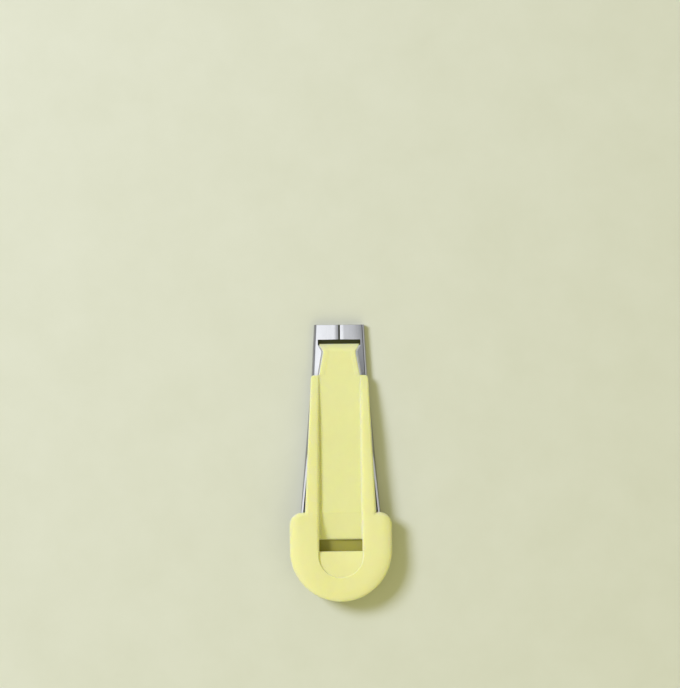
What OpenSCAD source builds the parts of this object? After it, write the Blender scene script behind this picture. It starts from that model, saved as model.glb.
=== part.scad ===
// Bias tape maker with a channel for fusible web.
// A folded sheet metal funnel turns in both edges of a fabric strip. A plastic guide with a thumb
// handle lies on the funnel and feeds the web onto the folded tape, and a former inside the funnel
// holds the strip down on the sheet metal floor.
// The tip points along +Y, the handle along -Y, and the funnel's floor lies on Z = 0.
// A distance called back runs from the tip towards the end of the handle.

/* [Tape and web] */
// Width of the finished tape, which is the inside width of the tip
tape_w = 12; // [11:0.5:13]
// Width of the fusible web in the channel
web_w = 10; // [8:0.5:10.5]
// Room for the fabric between metal and plastic
fabric_gap = 0.6; // [0.4:0.05:0.8]

/* [Sheet metal funnel] */
// Thickness of the plated sheet
sheet_t = 0.5; // [0.35:0.05:0.6]
// Outside radius of the folds
bend_r = 0.9; // [0.75:0.05:1]
// Outside height of the folded tip
tip_h = 2; // [2:0.05:2.4]
// Length of the funnel from the tip to the fabric mouth
metal_l = 53; // [51:0.5:54]
// Length of the bridge that the two flanges close over the tape
bridge_l = 3.8; // [3:0.1:4.2]
// Gap between the flanges at the seam of the bridge
seam_gap = 0.25; // [0.1:0.05:0.5]
// Width of the window behind the bridge
window_w = 10.9; // [10.4:0.1:11.1]
// Distance from the tip to the corners of the flanges behind the window
window_end = 6.9; // [6.4:0.1:7.6]
// Gap between the corners of the flanges
neck_gap_w = 8.9; // [8.2:0.1:9.6]
// Gap between the flanges where the rails start
waist_gap_w = 11.1; // [10.6:0.1:11.3]
// Outside width where the rails start
waist_w = 14.4; // [14.2:0.1:14.8]
// Height of the flange edges where the rails start
waist_h = 2.55; // [2.45:0.05:2.7]
// Distance from the tip to where the flanges have opened into side walls
unfold_end = 35; // [32:0.5:38]
// Outside width of the fabric mouth
mouth_w = 21.4; // [20.8:0.1:21.8]
// Height of the side walls at the fabric mouth
mouth_h = 5.1; // [4.8:0.05:5.2]

/* [Web guide] */
// Length from the tip to the end of the handle
total_l = 71.5; // [69:0.5:76]
// Distance from the tip to the front of the rails
rail_start = 13.1; // [12:0.1:14]
// Distance from the tip to the front edge of the tongue
tongue_start = 4.95; // [4.6:0.05:5.3]
// Height of the tongue's front edge, where the web leaves it
tongue_edge_z = 1.62; // [1.6:0.02:1.8]
// Height of the tongue where it starts to slope down into the window
tongue_z = 2.7; // [2.65:0.05:2.9]
// Rise of the channel and the handle towards the rear, in degrees
rise = 3.2; // [3:0.1:3.6]
// Full depth of the channel between the rails
channel_depth = 1.5; // [1.2:0.05:1.7]
// Thickness of the plastic under the channel
channel_floor_t = 0.95; // [0.8:0.05:1.1]
// Width of the handle
handle_w = 26.4; // [25:0.2:30]
// Distance from the tip to the shoulders of the handle
shoulder = 48.5; // [47:0.5:49]
// Radius of the shoulders, seen from above
shoulder_r = 3.2; // [3.1:0.1:4]
// Height of the underside of the handle above the funnel's floor
handle_z = 4.4; // [4.3:0.05:4.6]
// Length of the slot that the web comes up through
slot_l = 2.9; // [2:0.1:3.2]
// Distance from the tip to the front edge of the slot
slot_start = 55.7; // [55:0.1:57]
// Height of the lip that the web runs over
lip_z = 3.7; // [3.5:0.05:3.9]
// Distance from the tip to the end of the shallow recess behind the slot
recess_end = 65.2; // [65:0.1:67]
// Depth of the shallow recess beside the slot
recess_depth = 0.9; // [0.6:0.05:1]
// Depth of the shallow recess at its rear end
recess_end_depth = 0.25; // [0.15:0.05:0.5]

/* [Fabric former] */
// Distance from the tip to the front edge of the former
former_start = 12.5; // [11.5:0.1:13]
// Distance from the tip to the rear edge of the former, behind the slot
former_end = 61; // [60.5:0.5:63]
// Diameter of the pegs that join the former to the guide
peg_d = 1.6; // [1.2:0.1:1.8]
// Length of the pegs above the joint
peg_l = 1.4; // [1:0.1:1.5]

/* [Hidden] */

// Steps along an arc, and around the end of the handle
arc_steps = 5;
round_steps = 6;
end_steps = 12;
crown_steps = 6;

// Running clearance between the guide and the metal that it covers
cover_gap = 0.12;
// Clearance of the tongue between the flanges
tongue_gap = 0.25;
// Clearance around the side walls in the handle's grooves
groove_gap = 0.2;
// Clearance around a peg, and past its end
peg_gap = 0.03;
peg_end_gap = 0.15;

// Shape of the folds
bridge_fold = 88.5;
window_fold = 82;
waist_fold = 75;
wall_fold = 14;
mouth_fold = 4;
wall_fold_r = 5;
wall_edge_l = 1;
window_side_l = 1.4;
mouth_corner_r = 1.5;
tip_wall_spare = 0.1;
rim_bow = 0.95;

// Edges of the plastic
rail_overhang = 0.2;
rail_edge_r = 1;
rail_nose = 1;
rail_grow_l = 9;
rail_lead_l = 0.8;
nose_side = 0.7;
channel_edge_r = 0.8;
channel_blend_l = 8;
channel_root_r = 0.3;
channel_draft = 15;
channel_play = 0.35;
slot_play = 0.58;
slot_step = 0.04;
slot_lead = 0.025;
recess_step = 0.15;
recess_edge_r = 0.3;
recess_lead = 0.15;
recess_corner = 0.2;
tongue_slope_end = 7.3;
tongue_edge_t = 0.27;
tongue_edge_r = 0.3;
rim_h = 0.12;
rim_w = 1.3;
lip_r = 0.7;
lip_t = 1.2;
crown_w = 3;
crown_h = 1.1;
front_tighter = 2.5;
handle_edge_r = 0.5;
handle_tail_half = 1.4;
thumb_edge = 0.24;
thumb_edge_power = 1.3;
step_w = 0.1;

// The former
foot_edge_r = 0.3;
foot_lead_l = 3;
foot_lead_h = 0.8;
foot_least_t = 0.35;
foot_front = 0.6;
foot_grow_l = 4;
neck_front_half = 1.6;
neck_grow = 0.32;

// Derived sizes
tip_half = tape_w / 2 + sheet_t;
slot_end = slot_start + slot_l;
slot_half = web_w / 2 + slot_play;
channel_half = web_w / 2 + channel_play;
end_r = handle_w / 2;
end_centre = total_l - end_r;
recess_r = slot_half + recess_step;
recess_centre = recess_end - recess_r;
recess_start = slot_end - recess_lead;
thumb_start = slot_end - 2 * recess_lead;
peg_rows = [shoulder - 7, shoulder + 2];
foot_z = sheet_t + fabric_gap;
overcut = 2;

// Distance from the tip turned into a Y coordinate
function at(back) = total_l / 2 - back;
function mix(a, b, share) = a + (b - a) * share;
function share_of(value, low, high) = min(1, max(0, (value - low) / (high - low)));

// The funnel, as functions of the distance from the tip

function metal_half(back) =
    back < rail_start
    ? mix(tip_half, waist_w / 2, back / rail_start)
    : mix(waist_w / 2, mouth_w / 2, (back - rail_start) / (metal_l - rail_start));

// How far the flanges have opened into walls, from 0 to 1
function unfolded(back) = share_of(back, rail_start, unfold_end);

// Angle through which the upper fold turns the sheet inwards
function fold_angle(back) =
    back <= bridge_l
    ? bridge_fold
    : back <= rail_start
    ? mix(window_fold, waist_fold, share_of(back, bridge_l, rail_start))
    : back <= unfold_end
    ? mix(waist_fold, wall_fold, unfolded(back))
    : mix(wall_fold, mouth_fold, share_of(back, unfold_end, metal_l));

function fold_r(back) = mix(bend_r, wall_fold_r, pow(unfolded(back), 3));

// Half of the gap between the flanges in front of the rails
function front_gap_half(back) =
    back <= bridge_l
    ? seam_gap / 2
    : back <= bridge_l + window_side_l
    ? window_w / 2
    : back <= window_end
    ? mix(window_w / 2, neck_gap_w / 2, share_of(back, bridge_l + window_side_l, window_end))
    : mix(neck_gap_w / 2, waist_gap_w / 2, share_of(back, window_end, rail_start));

// Flat length of the sheet beyond the upper fold
function front_edge_l(back) =
    (metal_half(back) - fold_r(back) * (1 - cos(fold_angle(back)))
        - sheet_t * cos(fold_angle(back)) - front_gap_half(back)) / sin(fold_angle(back));
function edge_l(back) =
    back <= rail_start
    ? front_edge_l(back)
    : mix(front_edge_l(rail_start), wall_edge_l, unfolded(back));

// Height that the upper fold and the edge beyond it add to the straight wall
function fold_rise(back) = fold_r(back) * sin(fold_angle(back)) + edge_l(back) * cos(fold_angle(back));

// Height of the sheet's free edge behind the start of the rails: a parabola that levels out at the mouth
function rim_z(back) =
    let (v = share_of(back, rail_start, metal_l))
    waist_h + (mouth_h - waist_h) * ((1 + rim_bow) * v - rim_bow * v * v);

// Rounded upper corner of the wall at the mouth
function mouth_drop(back) =
    let (over = max(0, back - (metal_l - mouth_corner_r)))
    mouth_corner_r - sqrt(max(0, mouth_corner_r * mouth_corner_r - over * over));

function waist_wall() = waist_h - bend_r - fold_rise(rail_start);
function wall_l(back) =
    back <= rail_start
    ? mix(tip_h - 2 * bend_r + tip_wall_spare, waist_wall(), back / rail_start)
    : rim_z(back) - bend_r - fold_rise(back) - mouth_drop(back);

// Half of the distance between the free edges
function gap_half(back) =
    metal_half(back) - fold_r(back) * (1 - cos(fold_angle(back)))
        - edge_l(back) * sin(fold_angle(back)) - sheet_t * cos(fold_angle(back));

// Right half of the sheet's section, at a depth into the sheet from its outer surface
function sheet_path(back, depth) =
    let (
        turn = fold_angle(back),
        foot_x = metal_half(back) - bend_r,
        fold_x = metal_half(back) - fold_r(back),
        fold_z = bend_r + wall_l(back),
        bend = bend_r - depth,
        fold = fold_r(back) - depth
    )
    concat(
        [for (i = [0:arc_steps]) let (a = 90 * i / arc_steps) [foot_x + bend * sin(a), bend_r - bend * cos(a)]],
        [for (i = [0:arc_steps]) let (a = turn * i / arc_steps) [fold_x + fold * cos(a), fold_z + fold * sin(a)]],
        [[
            fold_x + fold * cos(turn) - edge_l(back) * sin(turn),
            fold_z + fold * sin(turn) + edge_l(back) * cos(turn)
        ]]
    );

function reversed(list) = [for (i = [len(list) - 1:-1:0]) list[i]];
function mirrored(path) = [for (p = path) [-p[0], p[1]]];
function ring(section, back) = [for (p = section) [p[0], at(back), p[1]]];

// A closed section from its right half, which runs upwards from the bottom
function whole_section(half) = concat(half, reversed(mirrored(half)));

// Faces of the skin between rings of n points each
function skin_faces(count, n) = [
    for (i = [0:count - 2], j = [0:n - 1])
        let (a = i * n + j, b = i * n + (j + 1) % n)
        each [[a, a + n, b], [b, a + n, b + n]]
];

// Solid through sections of equal length, first ring at the front
// Each end face is drawn from one of its corners, so that corner must not lie on a straight run
module loft(rings, front_corner = 0, rear_corner = 0) {
    n = len(rings[0]);
    count = len(rings);
    front = [for (j = [0:n - 1]) (j + front_corner) % n];
    rear = [for (j = [n:-1:1]) (count - 1) * n + (j + rear_corner) % n];
    polyhedron([for (r = rings) each r], concat([front], skin_faces(count, n), [rear]), convexity = 8);
}

// The folded sheet: four paths a section, right outer, right inner, left inner and left outer
module folded_sheet(stations) {
    m = len(sheet_path(0, 0));
    n = 4 * m;
    count = len(stations);
    points = [
        for (back = stations)
            let (outer = sheet_path(back, 0), inner = sheet_path(back, sheet_t))
            each ring(concat(outer, reversed(inner), mirrored(inner), reversed(mirrored(outer))), back)
    ];
    // Each end is a strip of quads between the outer and the inner path
    front_cap = [
        for (j = [0:m - 2]) each [
            [j, j + 1, 2 * m - 2 - j, 2 * m - 1 - j],
            [2 * m + j, 2 * m + j + 1, n - 2 - j, n - 1 - j]
        ]
    ];
    floor_cap = [[0, 2 * m - 1, 2 * m, n - 1]];
    last = (count - 1) * n;
    caps = concat(front_cap, floor_cap);
    rear_caps = [for (f = caps) [for (k = reversed(f)) k + last]];
    polyhedron(points, concat(caps, skin_faces(count, n), rear_caps), convexity = 10);
}

function even(from, to, steps) = [for (i = [0:steps]) mix(from, to, i / steps)];

module metal_body() {
    corner_start = metal_l - mouth_corner_r;
    color([0.78, 0.79, 0.82])
    folded_sheet(concat(
        [0, bridge_l, bridge_l + 0.05, bridge_l + window_side_l],
        even(window_end, rail_start, 2),
        even(rail_start + 2.2, unfold_end, 9),
        even(unfold_end + 4, corner_start, 3),
        [for (i = [1:4]) corner_start + mouth_corner_r * sin(i * 22)]
    ));
}

// The guide, as functions of the distance from the tip

function channel_z(back) = tongue_z + (back - tongue_slope_end) * tan(rise);
function depth_at(back) = max(
    rim_h * share_of(back, tongue_start, tongue_slope_end),
    channel_depth * (1 - exp(-(back - rail_start + rail_lead_l) / rail_grow_l))
);
function handle_top(back) = channel_z(back) + depth_at(shoulder);
function rail_top(back) = back < shoulder ? channel_floor(back) + depth_at(back) : handle_top(back);

// Underside of the guide, which is also the seat of the former
function belly_z(back) = channel_z(back) - channel_floor_t;
function guide_bottom(back) =
    back < rail_start
    ? mix(tongue_edge_z - tongue_edge_t, belly_z(rail_start), share_of(back, tongue_start, rail_start))
    : back < shoulder
    ? belly_z(back)
    : mix(belly_z(shoulder), lip_z - lip_t, share_of(back, shoulder, slot_start));

// Half-width of the rails, from just over the folds at the front to inside the walls at the rear
rail_front_half = waist_w / 2 + rail_overhang;
rail_rear_half = metal_half(shoulder) - sheet_t - fabric_gap;
function rail_half(back) =
    mix(rail_front_half, rail_rear_half, (back - rail_start) / (shoulder - rail_start));

// Half-width below the rails, between the free edges of the sheet
function belly_half(back) =
    min(rail_half(back) - step_w, gap_half(min(back, metal_l)) - mix(tongue_gap, fabric_gap, unfolded(back)));

// Rounding of the front ends of the rails
function nose(back) =
    let (v = share_of(back, rail_start, rail_start + rail_nose))
    rail_nose * (1 - sqrt(1 - (1 - v) * (1 - v)));

// The tongue between the flanges flares in the window, where its top slopes down to a thin edge
function tongue_half(back) = front_gap_half(max(back, bridge_l + window_side_l)) - tongue_gap;

// Floor of the channel, which starts on the tongue and runs over a rounded lip into the slot
function channel_floor(back) =
    back < tongue_slope_end
    ? mix(tongue_edge_z, channel_z(tongue_slope_end), sin(90 * share_of(back, tongue_start, tongue_slope_end)))
    : back < shoulder
    ? channel_z(back)
    : back < slot_start - lip_r
    ? mix(channel_z(shoulder), lip_z, share_of(back, shoulder, slot_start - lip_r))
    : back <= slot_start
    ? lip_z - lip_r + sqrt(max(0, lip_r * lip_r - pow(back - slot_start + lip_r, 2)))
    : handle_z + handle_edge_r;

// Half-width of the handle, with rounded shoulders and a round end
shoulder_x = handle_w / 2 - shoulder_r;
function handle_half(back) =
    back < shoulder + shoulder_r
    ? shoulder_x + sqrt(max(0, shoulder_r * shoulder_r - pow(shoulder + shoulder_r - back, 2)))
    : back < end_centre
    ? end_r
    : sqrt(max(handle_tail_half * handle_tail_half, end_r * end_r - pow(back - end_centre, 2)));

// Distance from the handle's outline inwards, counted faster at the front, where the edge is tighter
function inward(x, back) =
    back > end_centre
    ? end_r - norm([x, back - end_centre])
    : back < shoulder + shoulder_r && x > shoulder_x
    ? let (ahead = shoulder + shoulder_r - back, far = norm([x - shoulder_x, ahead]))
        (shoulder_r - far) * mix(1, front_tighter, pow(ahead / far, 2))
    : min(end_r - x, (back - shoulder) * front_tighter);

// Height of the handle's crowned top
function crown_z(x, back) =
    let (v = 1 - share_of(inward(x, back), 0, crown_w))
    handle_top(back) - crown_h * (1 - sqrt(1 - v * v));

// Right half of the channel, from the middle of its floor up to the top of the rail
function channel_path(back) =
    let (
        near_slot = share_of(back, shoulder - channel_blend_l, shoulder),
        low = channel_floor(back),
        top = rail_top(back),
        edge = channel_edge_r,
        edge_h = min(edge, 0.45 * (top - low)),
        root = channel_root_r,
        root_h = min(root, 0.3 * (top - low)),
        foot = back < rail_start ? tongue_half(back) - rim_w : mix(channel_half, slot_half - 2 * slot_step, near_slot),
        lean = max(slot_step, tan(mix(channel_draft, 0, near_slot)) * (top - low - edge_h - root_h))
    )
    concat(
        [for (i = [0:2]) let (a = 45 * i) [foot - root + root * sin(a), low + root_h * (1 - cos(a))]],
        [for (i = [0:4]) let (a = 22.5 * i) [foot + lean + edge * (1 - cos(a)), top - edge_h * (1 - sin(a))]]
    );

// Right half of the outside in front of the handle, from the belly up to the top of the rail
function rail_path(back) =
    let (
        tongue = back < rail_start,
        belly = tongue ? tongue_half(back) : belly_half(back),
        side = tongue ? belly : rail_half(back) - nose_side * nose(back),
        low = guide_bottom(back),
        top = rail_top(back),
        under = tongue ? low : min(rim_z(back), mouth_h) + cover_gap,
        r = min(tongue ? tongue_edge_r : rail_edge_r, 0.6 * (top - under))
    )
    concat(
        tongue
        ? [for (i = [0:5]) [mix(0.4, 1, i / 5) * belly, low]]
        : concat([[belly, low]], [for (i = [0:4]) [mix(belly, side, i / 4), under]]),
        [for (i = [1:crown_steps - 1]) [side, mix(under, top - r, i / crown_steps)]],
        [for (i = [0:arc_steps]) let (a = 90 * i / arc_steps) [side - r + r * cos(a), top - r + r * sin(a)]]
    );

// Right half of the handle's underside and side wall
function grip_path(back, low, belly) =
    let (half = handle_half(back))
    concat(
        [[low < handle_z ? belly : 0.8 * belly, low], [belly, handle_z]],
        [for (i = [0:2]) let (a = 45 * i)
            [half - handle_edge_r * (1 - sin(a)), handle_z + handle_edge_r * (1 - cos(a))]]
    );

// Right half of the handle beside the ramp and the slot: crown, then the edge of the rail above it
function shoulder_path(back) =
    let (half = handle_half(back), side = rail_half(back), top = rail_top(back), r = rail_edge_r)
    concat(
        grip_path(back, back > slot_start ? handle_z : guide_bottom(back), belly_half(back)),
        [for (i = [0:crown_steps - 1])
            let (x = mix(side + slot_step, half, cos(90 * i / (crown_steps - 1)) ))
            [x, crown_z(x, back)]],
        [for (i = [0:arc_steps])
            let (a = 90 * i / arc_steps, x = side - r + r * cos(a))
            [x, max(top - r + r * sin(a), crown_z(x, back))]]
    );

// Right half of the handle behind the slot
function thumb_path(back) =
    let (half = handle_half(back), inner = arc_steps + 8)
    concat(
        grip_path(back, handle_z, 0.7 * (half - handle_edge_r)),
        [for (i = [0:crown_steps - 1])
            let (x = half * (1 - thumb_edge * pow(i / crown_steps, thumb_edge_power)))
            [x, crown_z(x, back)]],
        [for (i = [0:inner]) let (x = (1 - thumb_edge) * half * (1 - i / (inner + 1))) [x, crown_z(x, back)]]
    );

function guide_ring(back) =
    ring(whole_section(
        back < shoulder
        ? concat(rail_path(back), reversed(channel_path(back)))
        : back < thumb_start
        ? concat(shoulder_path(back), reversed(channel_path(back)))
        : thumb_path(back)
    ), back);

module guide_body() {
    lip_start = slot_start - lip_r;
    window_l = bridge_l + window_side_l;
    corner_end = shoulder + shoulder_r;
    loft([
        for (back = concat(
            [tongue_start, window_l],
            even(window_l + 0.5, window_end, 2),
            [tongue_slope_end, mix(tongue_slope_end, rail_start, 0.5), rail_start - slot_step],
            [for (v = [0, 0.12, 0.35, 0.65, 1]) rail_start + rail_nose * v],
            even(rail_start + 2.5, rail_start + 10, 5),
            even(rail_start + 14, shoulder - channel_blend_l, 3),
            [shoulder - 4, shoulder - slot_step],
            [for (i = [0:round_steps]) corner_end - shoulder_r * cos(90 * i / round_steps)],
            [mix(corner_end, lip_start, 0.5)],
            [for (i = [0:4]) lip_start + lip_r * sin(i * 22)],
            [slot_start + slot_step, thumb_start - slot_step, thumb_start, end_centre + 2],
            [for (i = [1:end_steps]) end_centre + 2 + (total_l - end_centre - 2) * sin(90 * i / end_steps)]
        ))
            guide_ring(back)
    ], 13, 3);
}

module web_slot() {
    translate([-slot_half, at(slot_end), 0])
        cube([2 * slot_half, slot_l + slot_lead, handle_top(total_l) + overcut]);
}

// The shallow recess behind the slot: straight sides that run into a half circle
module recess_profile() {
    deep = recess_depth + recess_corner / 2;
    polygon(concat(
        [[0, -deep], [recess_r - recess_corner, -deep], [recess_r, recess_corner - deep]],
        [for (i = [0:4]) let (a = 20 * i)
            [recess_r + recess_edge_r * (1 - cos(a)), recess_edge_r * (sin(a) - 1)]],
        [[recess_r + 2 * recess_edge_r, recess_edge_r], [recess_r + 2 * recess_edge_r, overcut], [0, overcut]]
    ));
}

module thumb_recess() {
    straight_l = recess_centre - recess_start;
    floor_rise = atan((recess_depth - recess_end_depth) / (straight_l + recess_r));
    translate([0, at(recess_centre), handle_top(recess_centre)])
        rotate([-rise, 0, 0])
        intersection() {
            union() {
                rotate_extrude($fn = 96) recess_profile();
                for (side = [0, 1]) mirror([side, 0, 0])
                    rotate([90, 0, 0])
                    translate([0, 0, -straight_l])
                    linear_extrude(straight_l) recess_profile();
            }
            translate([0, straight_l, -recess_depth])
                rotate([-floor_rise, 0, 0])
                translate([-handle_w, -2 * handle_w, 0])
                cube([2 * handle_w, 4 * handle_w, handle_w]);
        }
}

// Grooves in the handle's underside that the rear ends of the side walls run into
module wall_grooves() {
    front = shoulder - overcut;
    rear = metal_l + groove_gap;
    top = rim_z(metal_l) + cover_gap;
    for (side = [-1, 1])
        translate([0, 0, handle_z - overcut])
        linear_extrude(top - handle_z + overcut)
        polygon([
            [side * (gap_half(front) - groove_gap), at(front)],
            [side * (metal_half(front) + groove_gap), at(front)],
            [side * (metal_half(metal_l) + groove_gap), at(rear)],
            [side * (gap_half(metal_l) - groove_gap), at(rear)]
        ]);
}

function peg_x() = (slot_half + belly_half(shoulder)) / 2;

module peg_holes() {
    for (back = peg_rows, side = [-1, 1])
        translate([side * peg_x(), at(back), guide_bottom(back) - overcut])
        cylinder(d = peg_d + 2 * peg_gap, h = overcut + peg_l + peg_end_gap, $fn = 32);
}

module web_guide() {
    color([0.93, 0.92, 0.6])
    difference() {
        guide_body();
        web_slot();
        thumb_recess();
        wall_grooves();
        peg_holes();
    }
}

// The former, as functions of the distance from the tip

function foot_half(back) =
    let (
        full = metal_half(min(back, metal_l)) - sheet_t - fabric_gap,
        v = share_of(back, former_start, former_start + foot_grow_l)
    )
    full * mix(foot_front, 1, sin(90 * v));
function neck_half(back) =
    min(
        neck_front_half + neck_grow * (back - former_start),
        belly_half(back) - step_w / 2,
        foot_half(back) - step_w / 2
    );
function foot_bottom(back) = foot_z + foot_lead_h * share_of(back, former_end - foot_lead_l, former_end);
function foot_top(back) =
    max(guide_bottom(back) - fabric_gap, foot_bottom(back) + foot_least_t);
function former_section(back) =
    let (r = foot_edge_r)
    whole_section([
        [foot_half(back) - r, foot_bottom(back)],
        [foot_half(back), foot_bottom(back) + 0.8 * r],
        [foot_half(back), foot_top(back)],
        [neck_half(back), foot_top(back)],
        [neck_half(back), guide_bottom(back)]
    ]);

module fabric_former() {
    color([0.67, 0.65, 0.3]) {
        loft([
            for (back = concat(
                [former_start, rail_start],
                even(former_start + 2, unfold_end, 6),
                even(unfold_end + 3, shoulder, 3),
                [slot_start, former_end - foot_lead_l, former_end - 0.4 * foot_lead_l, former_end]
            ))
                ring(former_section(back), back)
        ]);
        for (back = peg_rows, side = [-1, 1])
            translate([side * peg_x(), at(back), foot_bottom(back) + foot_edge_r])
            cylinder(d = peg_d, h = guide_bottom(back) + peg_l - foot_bottom(back) - foot_edge_r, $fn = 32);
    }
}

metal_body();
web_guide();
fabric_former();
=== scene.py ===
"""Looks of the bias tape maker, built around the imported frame."""
import math

import bmesh
import bpy
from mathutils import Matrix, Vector


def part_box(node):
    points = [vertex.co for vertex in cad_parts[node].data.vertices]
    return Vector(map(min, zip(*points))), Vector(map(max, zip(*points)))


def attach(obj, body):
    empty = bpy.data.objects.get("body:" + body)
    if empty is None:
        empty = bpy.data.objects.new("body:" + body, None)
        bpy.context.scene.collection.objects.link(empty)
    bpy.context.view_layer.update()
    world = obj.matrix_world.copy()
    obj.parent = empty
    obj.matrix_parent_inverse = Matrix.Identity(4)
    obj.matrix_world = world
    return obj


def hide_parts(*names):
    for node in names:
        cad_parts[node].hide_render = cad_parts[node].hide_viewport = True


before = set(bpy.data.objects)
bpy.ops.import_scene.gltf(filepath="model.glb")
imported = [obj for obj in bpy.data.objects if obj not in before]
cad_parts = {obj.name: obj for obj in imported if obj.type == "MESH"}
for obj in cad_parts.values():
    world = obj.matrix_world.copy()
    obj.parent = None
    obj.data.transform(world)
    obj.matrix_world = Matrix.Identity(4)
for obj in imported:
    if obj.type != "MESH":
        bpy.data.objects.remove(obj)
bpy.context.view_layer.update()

MM = 0.001


def in_mm(low, high):
    """Distance between two places of the frame, in millimetres."""
    return round((high - low) / MM, 2)


# Overall sizes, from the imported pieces
metal_low, metal_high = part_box("metal_body")
guide_low, guide_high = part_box("web_guide")
TOTAL_L = in_mm(guide_low.y, metal_high.y)
HANDLE_W = in_mm(guide_low.x, guide_high.x)
METAL_L = in_mm(metal_low.y, metal_high.y)
MOUTH_W = in_mm(metal_low.x, metal_high.x)
TONGUE_START = in_mm(guide_high.y, metal_high.y)

# The other driving sizes, as in the part's source. Places along the tool are distances from its tip.

# What runs through the tool
TAPE_W = 12.0
WEB_W = 10.0
FABRIC_GAP = 0.6  # room for the folded fabric between plastic and metal

# Folded sheet
SHEET_T = 0.5
BEND_R = 0.9
TIP_H = 2.0
TIP_WALL_SPARE = 0.1  # added to the side walls at the tip
BRIDGE_L = 3.8  # closed part of the tip, with a seam in its middle
SEAM_GAP = 0.25
WINDOW_W = 10.9
WINDOW_SIDE_L = 1.4  # straight part of the window's sides
WINDOW_END = 6.9  # from here on the gap widens again
NECK_GAP_W = 8.9
WAIST_GAP_W = 11.1
WAIST_W = 14.4  # at the front of the rails
WAIST_H = 2.55
UNFOLD_END = 35.0  # where the flanges have become side walls
WALL_FOLD_R = 5.0
WALL_EDGE_L = 1.0  # what is left of the flange there
MOUTH_H = 5.1
MOUTH_CORNER_R = 1.5
RIM_BOW = 0.95  # how strongly the rear rims bow above a straight line
EDGE_BREAK = 0.07  # radius of the broken free edges
TIP_BREAK_L = 0.06  # length of the broken edge at the tip

# How far the sheet is folded over at each place, in degrees
BRIDGE_FOLD = 88.5
WINDOW_FOLD = 82.0
WAIST_FOLD = 75.0
WALL_FOLD = 14.0
MOUTH_FOLD = 4.0

# The last degrees of the bridge's fold are spread over a length, and the rear rims tilt outwards
BRIDGE_EASE = 4.0
BRIDGE_EASE_L = 2.3
RIM_TILT = 1.0

# Tongue, rails and web channel of the guide
TONGUE_SLOPE_END = 7.3
TONGUE_Z = 2.7
TONGUE_EDGE_Z = 1.62
TONGUE_EDGE_T = 0.27
TONGUE_EDGE_R = 0.3
TONGUE_GAP = 0.25
TONGUE_UNDER = 0.4  # where the points of its underside begin, as a share of its half width
RIM_W = 1.3  # low rims at the tongue's sides
RIM_H = 0.06
RISE = math.tan(math.radians(3.2))
RAIL_START = 13.1
RAIL_OVERHANG = 0.2
RAIL_EDGE_R = 1.0
RAIL_NOSE = 1.0
NOSE_SIDE = 0.7  # how much of the front's round goes off the sides
RAIL_LEAD_L = 0.8  # the rails begin to rise this far before their front
RAIL_GROW_L = 9.0  # length over which they reach two thirds of their height
CHANNEL_DEPTH = 1.5
CHANNEL_FLOOR_T = 0.95
CHANNEL_PLAY = 0.35
CHANNEL_DRAFT = 15.0  # slope of the channel's sides, in degrees
CHANNEL_EDGE_R = 0.8
CHANNEL_ROOT_R = 0.3
CHANNEL_BLEND_L = 8.0  # over this length before the handle the sides turn upright
LOW_EDGE = 0.45  # on low rims the rounds take at most these shares of the height
LOW_ROOT = 0.3
LOW_RAIL = 0.6
COVER_GAP = 0.12  # between the rim of the sheet and the rail over it
BELLY_STEP = 0.1  # least inset of the part that lies between the flanges

# Handle
HANDLE_Z = 4.4  # underside
HANDLE_EDGE_R = 0.5
SHOULDER = 48.5  # front of the handle
SHOULDER_R = 3.2
CROWN_W = 3.0  # width of the rounded margin of its top
CROWN_H = 1.1
FRONT_TIGHTER = 2.5  # the margin is this many times narrower at the front
THUMB_EDGE = 0.24  # share of the half width over which the outer points crowd
THUMB_EDGE_POWER = 1.3
REAR_LEAD = 2.0  # the last rings begin this far behind the centre of the rear round
REAR_FLAT = math.sqrt(0.3)  # half width of the tiny flat that ends it
UNDER_SHARE = 0.8  # where the points of the underside begin, as shares of its half width
THUMB_UNDER_SHARE = 0.7
GROOVE_GAP = 0.2
GROOVE_LEAD = 2.0  # how far the grooves reach out in front of the handle
GROOVE_LOW = 2.4

# Slot and recess in the handle
SLOT_START = 55.7
SLOT_L = 2.9
SLOT_PLAY = 0.58
SLOT_LEAD = 0.025  # the cut begins this far before the end of the lip
SLOT_EDGE_R = 0.35
SLOT_FLARE = 0.42  # how far the rear wall runs back at its lower end
SLOT_FLARE_DROP = 0.035
LIP_Z = 3.7  # rounded end of the ramp
LIP_R = 0.7
LIP_T = 1.2
RECESS_END = 65.2
RECESS_DEPTH = 0.9
RECESS_END_DEPTH = 0.25  # at the round end, where it is shallowest
RECESS_STEP = 0.15  # how much wider it is than the slot, on each side
RECESS_LEAD = 0.15  # how far it overlaps the slot
RECESS_CORNER = 0.2
RECESS_EDGE_R = 0.4

# Smallest offsets that keep outlines and rings apart, and how far the slot's cutter stands above the handle
STEP = 0.04
RING_STEP = 0.004
LEAST_X = 0.01
CUT_ABOVE = 2.0

# Places and half widths worked out from the sizes above
TIP_HALF = TAPE_W / 2 + SHEET_T
WINDOW_SIDE_END = BRIDGE_L + WINDOW_SIDE_L
SLOT_END = SLOT_START + SLOT_L
SLOT_HALF = WEB_W / 2 + SLOT_PLAY
CHANNEL_HALF = WEB_W / 2 + CHANNEL_PLAY
END_R = HANDLE_W / 2
END_CENTRE = TOTAL_L - END_R
RECESS_R = SLOT_HALF + RECESS_STEP
RECESS_CENTRE = RECESS_END - RECESS_R
RECESS_START = SLOT_END - RECESS_LEAD
THUMB_START = SLOT_END - 2 * RECESS_LEAD
SHOULDER_X = HANDLE_W / 2 - SHOULDER_R
SHOULDER_END = SHOULDER + SHOULDER_R

# Fineness of the sheet's section: its floor, bends, eased and flat parts of the flange, and broken edges
FLOOR_STEPS = 6
BEND_STEPS = 12
EASE_STEPS = 4
FLAT_STEPS = 3
BREAK_STEPS = 3

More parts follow.
